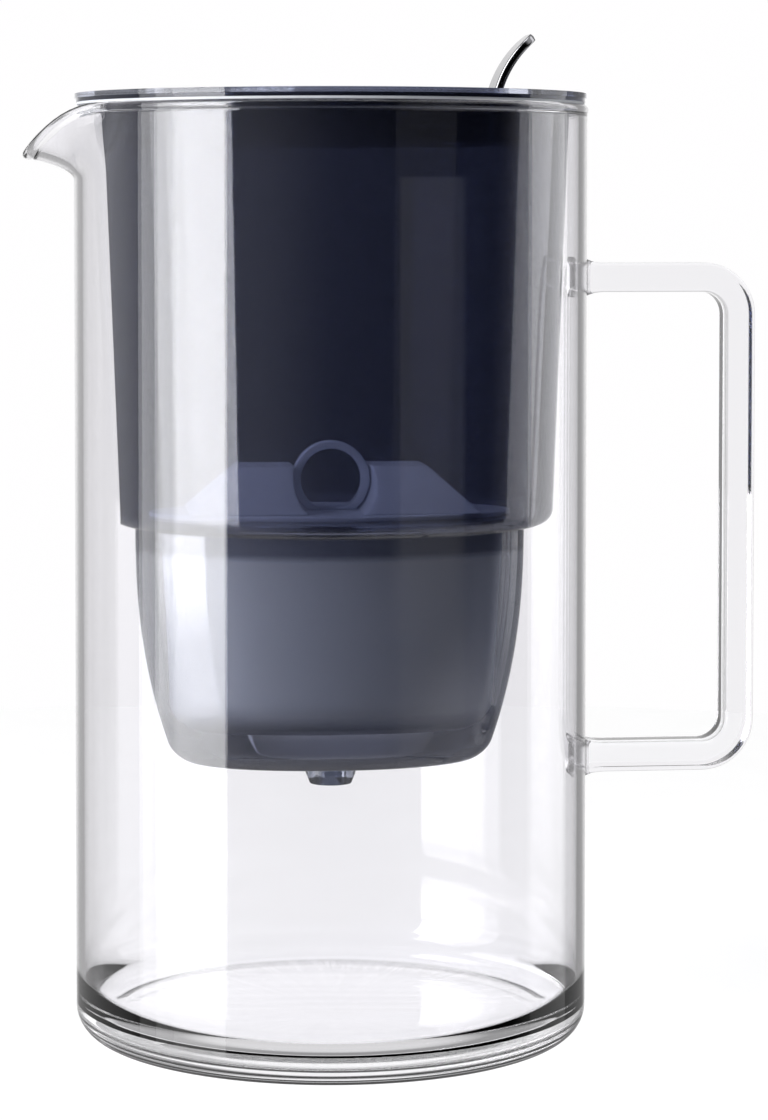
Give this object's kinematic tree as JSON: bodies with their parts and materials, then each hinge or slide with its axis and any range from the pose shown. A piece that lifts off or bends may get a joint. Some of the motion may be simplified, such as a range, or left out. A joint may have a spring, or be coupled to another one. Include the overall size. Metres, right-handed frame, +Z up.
{
  "type": "water filter pitcher",
  "caption": "Glass jug with pouring lip and fused bar handle, holding a lift-out filter funnel with cartridge, under a thin lid whose filling flap opens by a thumb lever.",
  "frame": {"origin": "middle of the jug's base, on the jug's axis", "axes": "+Z up along the jug's axis, +X toward the handle, -X toward the pouring lip"},
  "size_m": [0.196, 0.1366, 0.2663],
  "materials": {
    "clear_glass": "clear polished borosilicate glass",
    "clear_silicone": "satin translucent silicone",
    "tinted_plastic": "glossy see-through plastic with a dark blue-grey tint",
    "clear_plastic": "glossy clear plastic",
    "cartridge_plastic": "satin blue-grey plastic",
    "dark_silicone": "matt black silicone",
    "filter_mesh": "fine woven filter mesh",
    "carbon_grains": "packed black carbon grains",
    "resin_grains": "packed amber resin beads",
    "lid_plastic": "glossy slate plastic, slightly see-through",
    "pin_steel": "plain stainless steel",
    "lever_chrome": "bright polished chrome"
  },
  "bodies": {
    "jug": {"glass_jug": "clear_glass", "glass_handle": "clear_glass"},
    "funnel_unit": {"rim_gasket": "clear_silicone", "funnel": "tinted_plastic", "filter_cup": "tinted_plastic", "outlet_nozzle": "clear_plastic"},
    "cartridge": {"cartridge_body": "cartridge_plastic", "cartridge_cap": "cartridge_plastic", "pull_ring": "cartridge_plastic", "cartridge_seal": "dark_silicone", "intake_screen": "filter_mesh", "carbon_bed": "carbon_grains", "bed_divider": "filter_mesh", "resin_bed": "resin_grains", "outlet_screen": "filter_mesh"},
    "lid": {"lid_frame": "lid_plastic", "hinge_pin": "pin_steel"},
    "flap": {"fill_flap": "lid_plastic", "thumb_lever": "lever_chrome", "lever_rivets": "pin_steel"}
  },
  "joints": [
    {"name": "funnel_lift", "type": "slide", "parent": "jug", "child": "funnel_unit", "axis": [0, 0, 1], "range_m": [0, 0.19]},
    {"name": "cartridge_lift", "type": "slide", "parent": "funnel_unit", "child": "cartridge", "axis": [0, 0, 1], "range_m": [0, 0.06]},
    {"name": "lid_lift", "type": "slide", "parent": "funnel_unit", "child": "lid", "axis": [0, 0, 1], "range_m": [0, 0.06]},
    {"name": "flap_hinge", "type": "hinge", "parent": "lid", "child": "flap", "pos_m": [0.05, 0, 0.2465], "axis": [0, 1, 0], "range_deg": [0, 60]}
  ]
}
